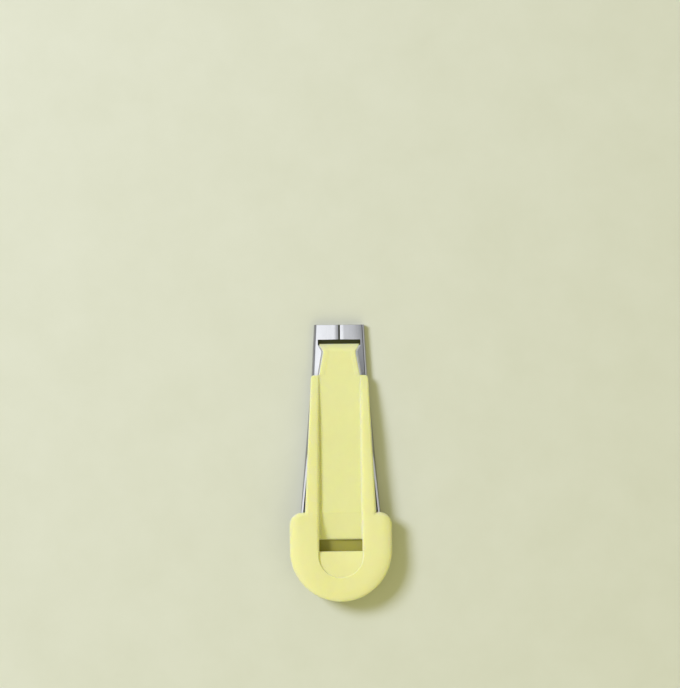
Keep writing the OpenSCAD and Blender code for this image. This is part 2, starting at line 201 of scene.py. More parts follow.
# Fineness of the guide's section: underside, side and upper edge, then the channel's floor, root and edge
UNDER_STEPS = 5
SIDE_POINTS = 10
TOP_STEPS = 10
CHANNEL_POINTS = 5
ROOT_STEPS = 5
EDGE_STEPS = 8
INNER_POINTS = CHANNEL_POINTS + ROOT_STEPS + 1 + EDGE_STEPS + 1

# Rings over the rounded front of the rails, as shares of its length
NOSE_SHARES = (0, 0.03, 0.08, 0.15, 0.25, 0.37, 0.5, 0.65, 0.82, 1)

# Fineness of the recess: its straight sides, its round end and the round of its edge
STRAIGHT_STEPS = 6
ROUND_STEPS = 64
RECESS_EDGE_STEPS = 6

# Angles between faces, in degrees, from which an edge shows as sharp
METAL_SHARP = 25
PLASTIC_SHARP = 35


def mix(a, b, share):
    """The value that lies at a share of the way from a to b."""
    return a + (b - a) * share


def share_of(value, low, high):
    """Share of the way from low to high, kept between 0 and 1."""
    return min(1.0, max(0.0, (value - low) / (high - low)))


def sind(a):
    return math.sin(math.radians(a))


def cosd(a):
    return math.cos(math.radians(a))


def at(back):
    """Place along Y of a distance from the tip."""
    return TOTAL_L / 2 - back


def even(low, high, steps):
    """Values from low to high, both included, in even steps."""
    return [mix(low, high, i / steps) for i in range(steps + 1)]


def turning(angle, steps):
    """Angles from 0 to the one given, in even steps."""
    return [angle * i / steps for i in range(steps + 1)]


# Eight steps that stop just short of a quarter turn
SHORT_QUARTER = [11 * i for i in range(1, 9)]


def stretches(start, parts):
    """Distances from the tip. A part is its end, its first step and its even steps after that one."""
    stations = [start]
    for end, first, steps in parts:
        stations += even(start + first, end, steps)
        start = end
    return stations


def mirrored(path):
    return [(-x, z) for x, z in path]


# Meshes

def ring_faces(count, n):
    """Faces between rings of n points each."""
    faces = []
    for i in range(count - 1):
        for j in range(n):
            a, b = i * n + j, i * n + (j + 1) % n
            faces.append((a, b, b + n, a + n))
    return faces


def closed_faces(count, n):
    """Faces between rings, with the first and the last ring filled."""
    return ring_faces(count, n) + [tuple(range(n))[::-1], tuple(range((count - 1) * n, count * n))]


def new_object(name, verts, faces):
    """Object at the origin, from points in millimetres."""
    mesh = bpy.data.meshes.new(name)
    mesh.from_pydata([(x * MM, y * MM, z * MM) for x, y, z in verts], [], faces)
    mesh.validate()
    mesh.update()
    obj = bpy.data.objects.new(name, mesh)
    bpy.context.scene.collection.objects.link(obj)
    return obj


def face_outwards(obj):
    """Turns all faces of a closed mesh outwards."""
    bm = bmesh.new()
    bm.from_mesh(obj.data)
    bmesh.ops.recalc_face_normals(bm, faces=bm.faces)
    if bm.calc_volume(signed=True) < 0:
        bmesh.ops.reverse_faces(bm, faces=bm.faces)
    bm.to_mesh(obj.data)
    bm.free()


def cut(obj, cutters):
    """Boolean differences, applied, after which the cutters are removed."""
    face_outwards(obj)
    for cutter in cutters:
        face_outwards(cutter)
        mod = obj.modifiers.new("cut", "BOOLEAN")
        mod.operation = "DIFFERENCE"
        mod.solver = "EXACT"
        mod.object = cutter
    depsgraph = bpy.context.evaluated_depsgraph_get()
    mesh = bpy.data.meshes.new_from_object(obj.evaluated_get(depsgraph))
    old = obj.data
    obj.modifiers.clear()
    obj.data = mesh
    mesh.name = obj.name
    bpy.data.meshes.remove(old)
    for cutter in cutters:
        data = cutter.data
        bpy.data.objects.remove(cutter)
        bpy.data.meshes.remove(data)


def dress(obj, material, sharp):
    """Gives a finished mesh its one material and smooth shading between its sharp edges."""
    mesh = obj.data
    mesh.materials.clear()
    mesh.materials.append(material)
    mesh.polygons.foreach_set("use_smooth", [True] * len(mesh.polygons))
    mesh.set_sharp_from_angle(angle=math.radians(sharp))
    mesh.update()


# The folded sheet

def metal_half(back):
    """Half the outer width of the sheet."""
    if back < RAIL_START:
        return mix(TIP_HALF, WAIST_W / 2, back / RAIL_START)
    return mix(WAIST_W / 2, MOUTH_W / 2, (back - RAIL_START) / (METAL_L - RAIL_START))


def unfolded(back):
    """0 up to the rails' front, rising to 1 where the flanges have become walls."""
    return share_of(back, RAIL_START, UNFOLD_END)


def fold_angle(back):
    if back <= BRIDGE_L:
        return BRIDGE_FOLD
    if back <= RAIL_START:
        return mix(WINDOW_FOLD, WAIST_FOLD, share_of(back, BRIDGE_L, RAIL_START))
    if back <= UNFOLD_END:
        return mix(WAIST_FOLD, WALL_FOLD, unfolded(back))
    return mix(WALL_FOLD, MOUTH_FOLD, share_of(back, UNFOLD_END, METAL_L))


def fold_r(back):
    return mix(BEND_R, WALL_FOLD_R, unfolded(back) ** 3)


def front_gap_half(back):
    """Half the gap between the flanges: seam, window and waist."""
    if back <= BRIDGE_L:
        return SEAM_GAP / 2
    if back <= WINDOW_SIDE_END:
        return WINDOW_W / 2
    if back <= WINDOW_END:
        return mix(WINDOW_W / 2, NECK_GAP_W / 2, share_of(back, WINDOW_SIDE_END, WINDOW_END))
    return mix(NECK_GAP_W / 2, WAIST_GAP_W / 2, share_of(back, WINDOW_END, RAIL_START))


def front_edge_l(back):
    """Length of the flange beyond its fold that leaves the wanted gap."""
    a = fold_angle(back)
    fold_w = fold_r(back) * (1 - cosd(a)) + SHEET_T * cosd(a)
    return (metal_half(back) - fold_w - front_gap_half(back)) / sind(a)


def edge_l(back):
    if back <= RAIL_START:
        return front_edge_l(back)
    return mix(front_edge_l(RAIL_START), WALL_EDGE_L, unfolded(back))


def fold_rise(back):
    """Height of the fold and the flange above the side wall."""
    a = fold_angle(back)
    return fold_r(back) * sind(a) + edge_l(back) * cosd(a)


def rim_z(back):
    """Height of the rear rims, which bow upwards on their way to the mouth."""
    v = share_of(back, RAIL_START, METAL_L)
    return WAIST_H + (MOUTH_H - WAIST_H) * ((1 + RIM_BOW) * v - RIM_BOW * v * v)


def mouth_drop(back):
    """How far the rounded corner of the mouth lies below the rim."""
    over = max(0.0, back - (METAL_L - MOUTH_CORNER_R))
    return MOUTH_CORNER_R - math.sqrt(max(0.0, MOUTH_CORNER_R ** 2 - over * over))


def wall_l(back):
    """Height of the flat part of the side wall, between the bend at the floor and the fold."""
    if back <= RAIL_START:
        waist_wall = WAIST_H - BEND_R - fold_rise(RAIL_START)
        return mix(TIP_H - 2 * BEND_R + TIP_WALL_SPARE, waist_wall, back / RAIL_START)
    return rim_z(back) - BEND_R - fold_rise(back) - mouth_drop(back)


def gap_half(back):
    """Half the gap between the two free edges."""
    a = fold_angle(back)
    return metal_half(back) - fold_r(back) * (1 - cosd(a)) - edge_l(back) * sind(a) - SHEET_T * cosd(a)


def sheet_path(back, depth):
    """Right half of the section at a depth in the sheet, from the middle of the floor to the free edge."""
    inner = depth > SHEET_T / 2
    last = fold_angle(back)
    # The fold of the bridge eases into its flat part instead of ending at a line
    turn = last - (BRIDGE_EASE if back <= BRIDGE_L else 0)
    # Behind, the free edge is sheared level but for a small tilt, so the inner skin is longer there
    spare = unfolded(back) * SHEET_T * math.tan(math.radians(last + RIM_TILT)) if inner else 0
    foot_x = metal_half(back) - BEND_R
    fold_x = metal_half(back) - fold_r(back)
    fold_z = BEND_R + wall_l(back)
    bend = BEND_R - depth
    fold = fold_r(back) - depth
    path = [(foot_x * i / FLOOR_STEPS, depth) for i in range(FLOOR_STEPS)]
    path += [(foot_x + bend * sind(a), BEND_R - bend * cosd(a)) for a in turning(90, BEND_STEPS)]
    path += [(fold_x + fold * cosd(a), fold_z + fold * sind(a)) for a in turning(turn, BEND_STEPS)]
    x, z = path[-1]
    length = edge_l(back) + spare - EDGE_BREAK
    ease = min(BRIDGE_EASE_L, length / 2)
    reach = 0.0
    for part in even(0, ease, EASE_STEPS)[1:] + even(ease, length, FLAT_STEPS)[1:]:
        a = mix(turn, last, min(1.0, (reach + part) / 2 / ease))
        x, z = x - (part - reach) * sind(a), z + (part - reach) * cosd(a)
        path.append((x, z))
        reach = part
    # The free edge is broken by a small radius on both sides of the sheet
    side = 1 if inner else -1
    for a in turning(90, BREAK_STEPS)[1:]:
        out, drop = EDGE_BREAK * sind(a), side * EDGE_BREAK * (1 - cosd(a))
        path.append((x - out * sind(last) + drop * cosd(last), z + out * cosd(last) + drop * sind(last)))
    return path


def sheet_end(base, half, n):
    """Faces across the sheet's thickness in the ring that starts at base, on the right and on the left."""
    right = [(j, 2 * half - 1 - j) for j in range(half)]
    left = [(2 * half - 1 + j, (n - j) % n) for j in range(half)]
    faces = []
    for side in (right, left):
        for (a, b), (c, d) in zip(side, side[1:]):
            faces.append((base + a, base + c, base + d, base + b))
    return faces


def sheet_mesh():
    """Closed sheet of real thickness, and a list that says which faces are sheared edges."""
    corner = METAL_L - MOUTH_CORNER_R
    stations = stretches(0.0, [
        (BRIDGE_L, TIP_BREAK_L, 8),
        (WINDOW_SIDE_END, 0.05, 4),
        (WINDOW_END, 0.2, 8),
        (RAIL_START, 0.3, 14),
        (UNFOLD_END, 0.5, 44),
        (corner, 0.5, 34),
    ])
    stations += [corner + MOUTH_CORNER_R * sind(a) for a in SHORT_QUARTER]
    verts = []
    for back in stations:
        # The edge at the tip is broken too, so the two skins start a little closer together
        pinch = EDGE_BREAK if back == 0.0 else 0.0
        outer = sheet_path(back, pinch)
        inner = sheet_path(back, SHEET_T - pinch)
        # The two sides share the middle points of the floor
        ring = outer + inner[::-1] + mirrored(inner)[1:] + mirrored(outer)[::-1][:-1]
        verts += [(x, at(back), z) for x, z in ring]
    count, half, n = len(stations), len(outer), len(ring)
    # Steps of a ring that run over a free edge, on the right and on the left
    edge_steps = set()
    for end in (half - 1, 3 * half - 2):
        edge_steps |= set(range(end - BREAK_STEPS, end + BREAK_STEPS + 1))
    sheared = [stations[i] > RAIL_START and j in edge_steps for i in range(count - 1) for j in range(n)]
    ends = [face[::-1] for face in sheet_end(0, half, n)] + sheet_end((count - 1) * n, half, n)
    return verts, ring_faces(count, n) + ends, sheared + [True] * len(ends)


# The guide

def channel_z(back):
    return TONGUE_Z + (back - TONGUE_SLOPE_END) * RISE


def depth_at(back):
    """Height of the rims over the channel, which grow out of the tongue into the rails."""
    rail = CHANNEL_DEPTH * (1 - math.exp(-(back - RAIL_START + RAIL_LEAD_L) / RAIL_GROW_L))
    return max(RIM_H * share_of(back, TONGUE_START, TONGUE_SLOPE_END), rail)


def handle_top(back):
    return channel_z(back) + depth_at(SHOULDER)


def channel_floor(back):
    """Height of the channel's floor along the tongue, the ramp and its rounded lip."""
    lip = SLOT_START - LIP_R
    if back < TONGUE_SLOPE_END:
        slope = sind(90 * share_of(back, TONGUE_START, TONGUE_SLOPE_END))
        return mix(TONGUE_EDGE_Z, channel_z(TONGUE_SLOPE_END), slope)
    if back < SHOULDER:
        return channel_z(back)
    if back < lip:
        return mix(channel_z(SHOULDER), LIP_Z, share_of(back, SHOULDER, lip))
    if back <= SLOT_START:
        return LIP_Z - LIP_R + math.sqrt(max(0.0, LIP_R ** 2 - (back - lip) ** 2))
    return HANDLE_Z + HANDLE_EDGE_R


def rail_top(back):
    return channel_floor(back) + depth_at(back) if back < SHOULDER else handle_top(back)


def belly_z(back):
    return channel_z(back) - CHANNEL_FLOOR_T


def guide_bottom(back):
    """Underside of the tongue and of the part that carries the channel."""
    if back < RAIL_START:
        tongue_low = TONGUE_EDGE_Z - TONGUE_EDGE_T
        return mix(tongue_low, belly_z(RAIL_START), share_of(back, TONGUE_START, RAIL_START))
    if back < SHOULDER:
        return belly_z(back)
    return mix(belly_z(SHOULDER), LIP_Z - LIP_T, share_of(back, SHOULDER, SLOT_START))


RAIL_FRONT_HALF = WAIST_W / 2 + RAIL_OVERHANG
RAIL_REAR_HALF = metal_half(SHOULDER) - SHEET_T - FABRIC_GAP


def rail_half(back):
    return mix(RAIL_FRONT_HALF, RAIL_REAR_HALF, (back - RAIL_START) / (SHOULDER - RAIL_START))


def belly_half(back):
    """Half width of the lower part of the guide, which drops in between the flanges."""
    gap = mix(TONGUE_GAP, FABRIC_GAP, unfolded(back))
    return min(rail_half(back) - BELLY_STEP, gap_half(min(back, METAL_L)) - gap)


def nose(back):
    """How much the rounded front of the rails takes off their sides."""
    v = share_of(back, RAIL_START, RAIL_START + RAIL_NOSE)
    return RAIL_NOSE * (1 - math.sqrt(1 - (1 - v) ** 2))


def tongue_half(back):
    return front_gap_half(max(back, WINDOW_SIDE_END)) - TONGUE_GAP


def handle_half(back):
    if back < SHOULDER_END:
        return SHOULDER_X + math.sqrt(max(0.0, SHOULDER_R ** 2 - (SHOULDER_END - back) ** 2))
    if back < END_CENTRE:
        return END_R
    return max(REAR_FLAT, math.sqrt(max(0.0, END_R ** 2 - (back - END_CENTRE) ** 2)))


def inward(x, back):
    """How far a place on the handle lies inside its outline, counted faster at the front."""
    if back > END_CENTRE:
        return END_R - math.hypot(x, back - END_CENTRE)
    if back < SHOULDER_END and x > SHOULDER_X:
        ahead = SHOULDER_END - back
        far = math.hypot(x - SHOULDER_X, ahead)
        return (SHOULDER_R - far) * mix(1, FRONT_TIGHTER, (ahead / far) ** 2)
    return min(END_R - x, (back - SHOULDER) * FRONT_TIGHTER)


def crown_z(x, back):
    """Top of the handle, rounded down towards its outline."""
    v = 1 - share_of(inward(x, back), 0, CROWN_W)
    return handle_top(back) - CROWN_H * (1 - math.sqrt(max(0.0, 1 - v * v)))


def channel_path(back):
    """Channel from its middle to the top of the rail, with a rounded root and edge."""
    near_slot = share_of(back, SHOULDER - CHANNEL_BLEND_L, SHOULDER)
    low, top = channel_floor(back), rail_top(back)
    edge, root = CHANNEL_EDGE_R, CHANNEL_ROOT_R
    # On low rims both rounds are flattened, so that they fit above each other
    edge_h, root_h = min(edge, LOW_EDGE * (top - low)), min(root, LOW_ROOT * (top - low))
    if back < RAIL_START:
        foot = tongue_half(back) - RIM_W
    else:
        foot = mix(CHANNEL_HALF, SLOT_HALF - 2 * STEP, near_slot)
    draft = math.radians(mix(CHANNEL_DRAFT, 0, near_slot))
    lean = max(STEP, math.tan(draft) * (top - low - edge_h - root_h))
    path = [((foot - root) * (i + 0.5) / (CHANNEL_POINTS + 0.5), low) for i in range(CHANNEL_POINTS)]
    path += [(foot - root + root * sind(a), low + root_h * (1 - cosd(a))) for a in turning(90, ROOT_STEPS)]
    path += [(foot + lean + edge * (1 - cosd(a)), top - edge_h * (1 - sind(a)))
             for a in turning(90, EDGE_STEPS)]
    return path


def top_edge(side, top, r):
    """Rounded upper outer edge of the tongue or a rail."""
    return [(side - r + r * cosd(a), top - r + r * sind(a)) for a in turning(90, TOP_STEPS)]


def rail_path(back):
    """Outside of the tongue or a rail, from its underside to its top."""
    tongue = back < RAIL_START
    belly = tongue_half(back) if tongue else belly_half(back)
    side = belly if tongue else rail_half(back) - NOSE_SIDE * nose(back)
    low, top = guide_bottom(back), rail_top(back)
    under = low if tongue else min(rim_z(back), MOUTH_H) + COVER_GAP
    r = min(TONGUE_EDGE_R if tongue else RAIL_EDGE_R, LOW_RAIL * (top - under))
    if tongue:
        path = [(share * belly, low) for share in even(TONGUE_UNDER, 1, UNDER_STEPS)]
    else:
        path = [(belly, low)] + [(x, under) for x in even(belly, side, UNDER_STEPS - 1)]
    path += [(side, z) for z in even(under, top - r, SIDE_POINTS + 1)[1:-1]]
    return path + top_edge(side, top, r)


def grip_path(back, low, belly):
    """Underside of the handle and its rounded lower edge."""
    half, r = handle_half(back), HANDLE_EDGE_R
    path = [(belly if low < HANDLE_Z else UNDER_SHARE * belly, low), (belly, HANDLE_Z)]
    path += [(half - r * (1 - sind(a)), HANDLE_Z + r * (1 - cosd(a))) for a in turning(90, UNDER_STEPS - 2)]
    return path


def shoulder_path(back):
    """Outside of the handle where the channel still runs through it."""
    half, side = handle_half(back), rail_half(back)
    low = HANDLE_Z if back > SLOT_START else guide_bottom(back)
    path = grip_path(back, low, belly_half(back))
    for a in turning(90, SIDE_POINTS - 1):
        x = mix(side + STEP, half, cosd(a))
        path.append((x, crown_z(x, back)))
    # The rail's own edge shows wherever it stands above the handle's crown
    path += [(x, max(z, crown_z(x, back))) for x, z in top_edge(side, rail_top(back), RAIL_EDGE_R)]
    return path


def thumb_path(back):
    """Outside of the closed rear part of the handle, up to its middle."""
    half = handle_half(back)
    inner = TOP_STEPS + 1 + INNER_POINTS
    path = grip_path(back, HANDLE_Z, THUMB_UNDER_SHARE * (half - HANDLE_EDGE_R))
    for i in range(SIDE_POINTS):
        x = half * (1 - THUMB_EDGE * (i / SIDE_POINTS) ** THUMB_EDGE_POWER)
        path.append((x, crown_z(x, back)))
    for i in range(inner):
        x = (1 - THUMB_EDGE) * half * (1 - i / inner)
        path.append((max(x, LEAST_X), crown_z(x, back)))
    return path


def guide_half(back):
    """Right half of the guide's section, from its underside over the top to the middle."""
    if back < SHOULDER:
        return rail_path(back) + channel_path(back)[::-1]
    if back < THUMB_START:
        return shoulder_path(back) + channel_path(back)[::-1]
    return thumb_path(back)


def guide_mesh():
    """The guide without its slot, its recess and the grooves in its underside."""
    lip = SLOT_START - LIP_R
    rear = END_CENTRE + REAR_LEAD
    stations = [TONGUE_START, TONGUE_START + 0.12]
    stations += stretches(WINDOW_SIDE_END, [(WINDOW_END, 0.15, 8), (TONGUE_SLOPE_END, 0.1, 3)])[:-1]
    stations += even(TONGUE_SLOPE_END, RAIL_START - 0.3, 12) + [RAIL_START - STEP]
    stations += [RAIL_START + RAIL_NOSE * v for v in NOSE_SHARES]
    stations += even(RAIL_START + RAIL_NOSE + 0.4, SHOULDER - STEP, 80)
    stations += [SHOULDER_END - SHOULDER_R * cosd(a) for a in turning(90, 18)]
    stations += even(SHOULDER_END + 0.4, lip, 8)
    stations += [lip + LIP_R * sind(a) for a in SHORT_QUARTER]
    stations += [SLOT_START + STEP] + even(SLOT_START + 0.4, THUMB_START - STEP, 4)
    # Towards the rear end the rings crowd, so that its outline stays round
    stations += even(THUMB_START, rear, 5)
    stations += [rear + (TOTAL_L - rear) * sind(a) for a in turning(90, 40)[1:]]
    verts = []
    for back in stations:
        half = guide_half(back)
        ring = half + mirrored(half)[::-1]
        verts += [(x, at(back), z) for x, z in ring]
    return verts, closed_faces(len(stations), len(ring))


def recess_outline(grow):
    """Plan of the shallow recess: straight sides that run into a half circle."""
    r = RECESS_R + grow
    start = RECESS_START - RECESS_CENTRE
    points = [(r, back) for back in even(start, 0, STRAIGHT_STEPS)[:-1]]
    points += [(r * cosd(a), r * sind(a)) for a in turning(180, ROUND_STEPS)]
    points += [(-r, back) for back in even(0, start, STRAIGHT_STEPS)[1:]]
    return points


def recess_mesh():
    """Cutter for the recess, whose floor rises from the slot towards the round end."""
    straight = RECESS_CENTRE - RECESS_START
    slope = (RECESS_DEPTH - RECESS_END_DEPTH) / (straight + RECESS_R)
    tilt = math.atan(RISE)
    r = RECESS_EDGE_R
    # Each ring: its growth in plan, a height against the handle's top, and its share of the way up to there
    rings = [(-RECESS_CORNER, -r, 0), (-0.3 * RECESS_CORNER, -r, 0.05), (0, -r, 0.2), (0, -r, 0.6)]
    rings += [(r * (1 - cosd(a)), r * (sind(a) - 1), 1) for a in turning(90, RECESS_EDGE_STEPS)]
    rings.append((2 * r, r, 1))
    verts = []
    for index, (grow, height, share) in enumerate(rings):
        outline = recess_outline(grow)
        for x, back in outline:
            low = -RECESS_DEPTH + slope * (back + straight)
            z = max(low, mix(low, height, share)) + RING_STEP * index
            verts.append((x, at(RECESS_CENTRE) - back * math.cos(tilt) + z * math.sin(tilt),
                          handle_top(RECESS_CENTRE) + back * math.sin(tilt) + z * math.cos(tilt)))
    return verts, closed_faces(len(rings), len(outline))


def slot_mesh():
    """Cutter for the slot, whose rear wall is rounded off backwards at its lower end."""
    front, rear, r = SLOT_START - SLOT_LEAD, SLOT_END + SLOT_FLARE, SLOT_EDGE_R
    top = handle_top(SLOT_END) + CUT_ABOVE
    profile = [(front, 0), (front, top), (SLOT_END, top), (SLOT_END, HANDLE_Z + r)]
    profile += [(SLOT_END + r * (1 - cosd(45)), HANDLE_Z + r * (1 - sind(45)))]
    profile += [(rear, HANDLE_Z - SLOT_FLARE_DROP), (rear, 0)]
    verts = [(side * SLOT_HALF, at(back), z) for side in (1, -1) for back, z in profile]
    return verts, closed_faces(2, len(profile))


def groove_mesh(side):
    """Cutter for the groove in the handle's underside that takes a rear rim of the sheet."""
    front, rear = SHOULDER - GROOVE_LEAD, METAL_L + GROOVE_GAP
    top = rim_z(METAL_L) + COVER_GAP
    plan = [(gap_half(front) - GROOVE_GAP, front), (metal_half(front) + GROOVE_GAP, front),
            (metal_half(METAL_L) + GROOVE_GAP, rear), (gap_half(METAL_L) - GROOVE_GAP, rear)]
    verts = [(side * x, at(back), z) for z in (GROOVE_LOW, top) for x, back in plan]
    return verts, closed_faces(2, len(plan))


# Materials

def srgb(r, g, b):
    """Linear colour, opaque, of a colour as it looks on a screen."""
    def linear(c):
        return c / 12.92 if c <= 0.04045 else ((c + 0.055) / 1.055) ** 2.4
    return (linear(r), linear(g), linear(b), 1.0)


PLATE_DARK = srgb(0.87, 0.87, 0.885)
PLATE_LIGHT = srgb(0.93, 0.93, 0.935)
# Dark olive painted shade, for the floor under the window at the tip
PLATE_PAINTED_SHADE = (0.11, 0.115, 0.05, 1.0)
FLOOR_DARK = srgb(0.835, 0.84, 0.74)
FLOOR_LIGHT = srgb(0.85, 0.855, 0.76)
FLOOR_MIRRORED = srgb(0.62, 0.62, 0.57)

# Roughness of the metal, and the place on the floor under the window where it is rougher and painted dark as
# shade: low, in front, on faces that look up
RUBBED_ROUGHNESS = 0.1
SHEARED_ROUGHNESS = 0.3
DULL_ROUGHNESS = 0.6
DULL_AND_SHADE_Z = 0.8
DULL_AND_SHADE_END = TONGUE_START + 0.35
DULL_AND_SHADE_UPWARD = 0.3

# The plastic's paler colour on faces that look sideways, a painted highlight: where it begins and is full,
# by how far a face looks up, and its share
HIGHLIGHT_BEGIN = 0.98
HIGHLIGHT_FULL = 0.5
HIGHLIGHT_SHARE = 0.5

# Sockets of a Mix node that mixes colours
MIX_A = 6
MIX_B = 7
MIX_RESULT = 2


class Nodes:
    """Short calls that add nodes to a material or a world."""

    def __init__(self, owner):
        owner.use_nodes = True
        self.tree = owner.node_tree
        self.coord = self.add("ShaderNodeTexCoord")

    def add(self, kind, **values):
        node = self.tree.nodes.new(kind)
        for key, value in values.items():
            setattr(node, key, value)
        return node

    def give(self, socket, value):
        """Links another node's output to a socket, or sets it to a value that is the same everywhere."""
        if isinstance(value, bpy.types.NodeSocket):
            self.tree.links.new(value, socket)
        else:
            socket.default_value = value

    def shade(self, values):
        """Gives the surface's shader its inputs, by their names."""
        shader = self.tree.nodes["Principled BSDF"]
        for name, value in values.items():
            self.give(shader.inputs[name], value)

    def noise(self, scale, stretch=(1, 1, 1), detail=3.0, roughness=0.5):
        mapping = self.add("ShaderNodeMapping")
        self.give(mapping.inputs["Vector"], self.coord.outputs["Object"])
        self.give(mapping.inputs["Scale"], stretch)
        node = self.add("ShaderNodeTexNoise")
        self.give(node.inputs["Vector"], mapping.outputs["Vector"])
        self.give(node.inputs["Scale"], scale)
        self.give(node.inputs["Detail"], detail)
        self.give(node.inputs["Roughness"], roughness)
        return node.outputs["Fac"]

    def ramp(self, share, stops):
        node = self.add("ShaderNodeValToRGB")
        elements = node.color_ramp.elements
        while len(elements) < len(stops):
            elements.new(0.5)
        for element, (position, colour) in zip(elements, stops):
            element.position = position
            element.color = colour
        self.give(node.inputs["Fac"], share)
        return node.outputs["Color"]

    def span(self, value, low=0.0, high=1.0, start=0.0, end=1.0):
        """A value that runs from low to high while another one runs from start to end."""
        node = self.add("ShaderNodeMapRange")
        self.give(node.inputs["Value"], value)
        self.give(node.inputs["From Min"], start)
        self.give(node.inputs["From Max"], end)
        self.give(node.inputs["To Min"], low)
        self.give(node.inputs["To Max"], high)
        return node.outputs["Result"]

    def mixed(self, share, colour, other):
        """A colour that turns into another, constant one."""
        node = self.add("ShaderNodeMix", data_type="RGBA")
        self.give(node.inputs["Factor"], share)
        self.give(node.inputs[MIX_A], colour)
        self.give(node.inputs[MIX_B], other)
        return node.outputs[MIX_RESULT]

    def blended(self, share, value, other):
        """A value that turns into another, constant one."""
        node = self.add("ShaderNodeMix", data_type="FLOAT")
        self.give(node.inputs["Factor"], share)
        self.give(node.inputs["A"], value)
        self.give(node.inputs["B"], other)
        return node.outputs["Result"]

    def math(self, operation, *values):
        node = self.add("ShaderNodeMath", operation=operation)
        for socket, value in zip(node.inputs, values):
            self.give(socket, value)
        return node.outputs[0]

    def axis(self, vector, name):
        node = self.add("ShaderNodeSeparateXYZ")
        self.give(node.inputs[0], vector)
        return node.outputs[name]

    def upward(self):
        """Upward part of the surface's normal."""
        return self.axis(self.add("ShaderNodeNewGeometry").outputs["Normal"], "Z")

    def bump(self, height, strength, distance, normal=None):
        node = self.add("ShaderNodeBump")
        self.give(node.inputs["Height"], height)
        self.give(node.inputs["Strength"], strength)
        self.give(node.inputs["Distance"], distance)
        if normal is not None:
            self.give(node.inputs["Normal"], normal)
        return node.outputs["Normal"]


def steel():
    """Bright plate: cloudy, with fine drawing lines along the tool and a few rubbed patches, and painted
    shade on the floor under the window.
    """
    material = bpy.data.materials.new("nickel_plated_steel")
    m = Nodes(material)
    cloud = m.noise(90, stretch=(1, 0.6, 1), detail=4, roughness=0.55)
    lines = m.noise(2600, stretch=(1, 0.02, 1), detail=3, roughness=0.6)
    rubbed = m.noise(420, stretch=(1, 0.35, 1), detail=5, roughness=0.6)
    plate = m.ramp(cloud, [(0.35, PLATE_DARK), (0.65, PLATE_LIGHT)])
    polish = m.math("MULTIPLY_ADD", rubbed, RUBBED_ROUGHNESS, m.span(lines, low=0.05, high=0.13))
    # The sheared edges of the sheet are rougher than its faces
    sheared = m.add("ShaderNodeAttribute", attribute_name="cut_edge").outputs["Fac"]
    rough = m.blended(sheared, polish, SHEARED_ROUGHNESS)
    # The floor under the window is rougher, and painted dark olive as shade in the narrow gap
    place = m.coord.outputs["Object"]
    low = m.math("LESS_THAN", m.axis(place, "Z"), DULL_AND_SHADE_Z * MM)
    front = m.math("GREATER_THAN", m.axis(place, "Y"), at(DULL_AND_SHADE_END) * MM)
    up = m.math("GREATER_THAN", m.upward(), DULL_AND_SHADE_UPWARD)
    # Mask of the floor under the window, which is rougher and gets the painted shade
    inside = m.math("MULTIPLY", m.math("MULTIPLY", low, front), up)
    normal = m.bump(lines, strength=0.12, distance=0.03 * MM)
    waves = m.noise(160, stretch=(1, 0.5, 1), detail=2, roughness=0.5)
    m.shade({
        "Metallic": 1.0,
        "Base Color": m.mixed(inside, plate, PLATE_PAINTED_SHADE),
        "Roughness": m.blended(inside, rough, DULL_ROUGHNESS),
        "Normal": m.bump(waves, strength=0.25, distance=0.12 * MM, normal=normal),
    })
    return material


def plastic(name, light, dark, edge, roughness):
    """Moulded plastic with faint flow marks, a fine grain and soft light within, and a painted highlight
    that makes it paler on faces that look sideways.
    """
    material = bpy.data.materials.new(name)
    m = Nodes(material)
    flow = m.noise(70, stretch=(1, 0.45, 1), detail=4, roughness=0.6)
    fine = m.noise(5200, detail=2, roughness=0.6)
    gloss = m.noise(650, stretch=(1, 0.7, 1), detail=4, roughness=0.6)
    waves = m.noise(240, stretch=(1, 0.5, 1), detail=2, roughness=0.5)
    body = m.ramp(flow, [(0.3, dark), (0.7, light)])
    # Painted highlight: the colour turns paler on faces that look sideways, where light would catch the
    # rounded edges
    painted_highlight = m.span(m.math("ABSOLUTE", m.upward()), high=HIGHLIGHT_SHARE, start=HIGHLIGHT_BEGIN, end=HIGHLIGHT_FULL)
    normal = m.bump(fine, strength=0.1, distance=0.02 * MM)
    m.shade({
        "Base Color": m.mixed(painted_highlight, body, edge),
        "Roughness": m.span(gloss, low=roughness - 0.06, high=roughness + 0.08),
        "Subsurface Weight": 0.65,
        "Subsurface Radius": (1.0, 0.85, 0.08),
        "Subsurface Scale": 1.8 * MM,
        "Sheen Weight": 0.15,
        "Sheen Roughness": 0.4,
        "Normal": m.bump(waves, strength=0.12, distance=0.06 * MM, normal=normal),
    })
    return material


def paper():
    """Pale floor, which the bright metal mirrors darker than the camera sees it."""
    material = bpy.data.materials.new("pale_floor")
    m = Nodes(material)
    clouds = m.noise(60, detail=5, roughness=0.6)
    grain = m.noise(1800, detail=3, roughness=0.6)
    colour = m.ramp(clouds, [(0.3, FLOOR_DARK), (0.7, FLOOR_LIGHT)])
    mirrored_ray = m.add("ShaderNodeLightPath").outputs["Is Glossy Ray"]
    m.shade({
        "Base Color": m.mixed(mirrored_ray, colour, FLOOR_MIRRORED),
        "Roughness": 0.7,
        "Normal": m.bump(grain, strength=0.1, distance=0.05 * MM),
    })
    return material


STEEL = steel()
YELLOW = plastic(
    "yellow_plastic",
    light=srgb(0.925, 0.915, 0.64),
    dark=srgb(0.905, 0.895, 0.605),
    # The edge colour is a painted highlight on faces that look sideways
    edge=srgb(0.9, 0.905, 0.78),
    roughness=0.4,
)
